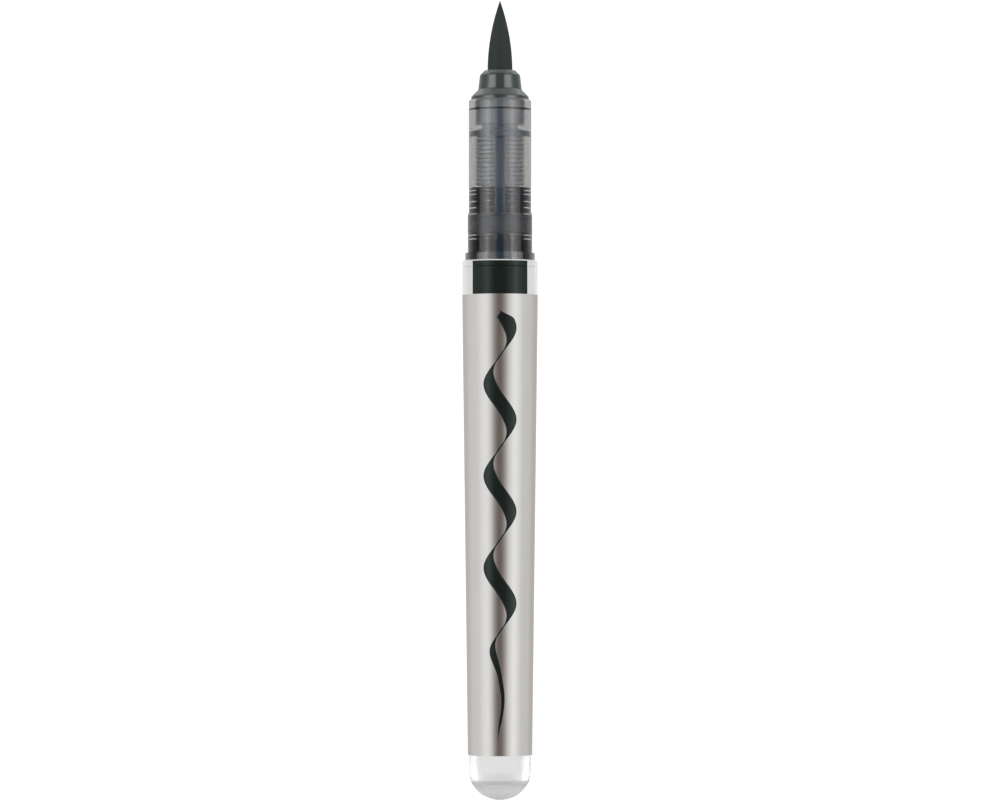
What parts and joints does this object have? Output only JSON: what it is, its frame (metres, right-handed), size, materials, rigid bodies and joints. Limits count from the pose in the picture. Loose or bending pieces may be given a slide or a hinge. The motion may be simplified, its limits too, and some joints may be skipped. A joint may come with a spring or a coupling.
{
  "type": "calligraphy brush marker",
  "caption": "Uncapped brush marker: tapered barrel with an ink tank, smoky clear grip over a comb ink regulator, black nose and a pointed flexible brush.",
  "frame": {"origin": "lowest point of the rounded rear end, on the marker's axis", "axes": "+Z along the marker's axis from the rear end to the brush point, -Y towards the side with the colour tab"},
  "size_m": [0.0122, 0.0122, 0.128],
  "materials": {
    "clear_plastic": "translucent white, gloss",
    "foil_film": "satin foil laminate",
    "dark_film": "printed film, gloss",
    "ink": "liquid",
    "plug_plastic": "clear, gloss",
    "smoke_plastic": "clear smoke tint, gloss",
    "rubber": "moulded",
    "black_plastic": "moulded",
    "felt": "pressed felt",
    "baffle_plastic": "moulded",
    "comb_plastic": "moulded, ink-stained",
    "fibre": "bonded fibre rod",
    "nose_plastic": "moulded, gloss",
    "brush_fibre": "fine tapered bristles, inked",
    "ferrule_brass": "rolled sleeve"
  },
  "bodies": {
    "barrel": {"barrel_tube": "clear_plastic", "label_sleeve": "foil_film", "colour_tab": "dark_film", "ink_charge": "ink"},
    "plug": {"end_plug": "plug_plastic"},
    "grip": {"grip_shell": "smoke_plastic", "spigot_o_ring": "rubber", "tank_stopper": "black_plastic", "retainer_ring": "black_plastic", "ink_buffer": "felt", "baffle_ring_1": "baffle_plastic", "baffle_ring_2": "baffle_plastic", "baffle_ring_3": "baffle_plastic", "baffle_ring_4": "baffle_plastic", "baffle_ring_5": "baffle_plastic", "ink_regulator": "comb_plastic", "feed_wick": "fibre", "nose_gasket": "rubber", "nose_cone": "nose_plastic"},
    "brush": {"brush_foot": "brush_fibre", "brush_ferrule": "ferrule_brass"},
    "tip": {"brush_tip": "brush_fibre"}
  },
  "joints": [
    {"name": "grip_pull", "type": "slide", "parent": "barrel", "child": "grip", "axis": [0, 0, 1], "range_m": [0, 0.016]},
    {"name": "plug_pull", "type": "slide", "parent": "barrel", "child": "plug", "axis": [0, 0, -1], "range_m": [0, 0.007]},
    {"name": "brush_pull", "type": "slide", "parent": "grip", "child": "brush", "axis": [0, 0, 1], "range_m": [0, 0.012]},
    {"name": "brush_flex", "type": "hinge", "parent": "brush", "child": "tip", "pos_m": [0, 0, 0.118], "axis": [0, 1, 0], "range_deg": [-25, 25], "stiffness_Nm_per_rad": 0.006}
  ]
}
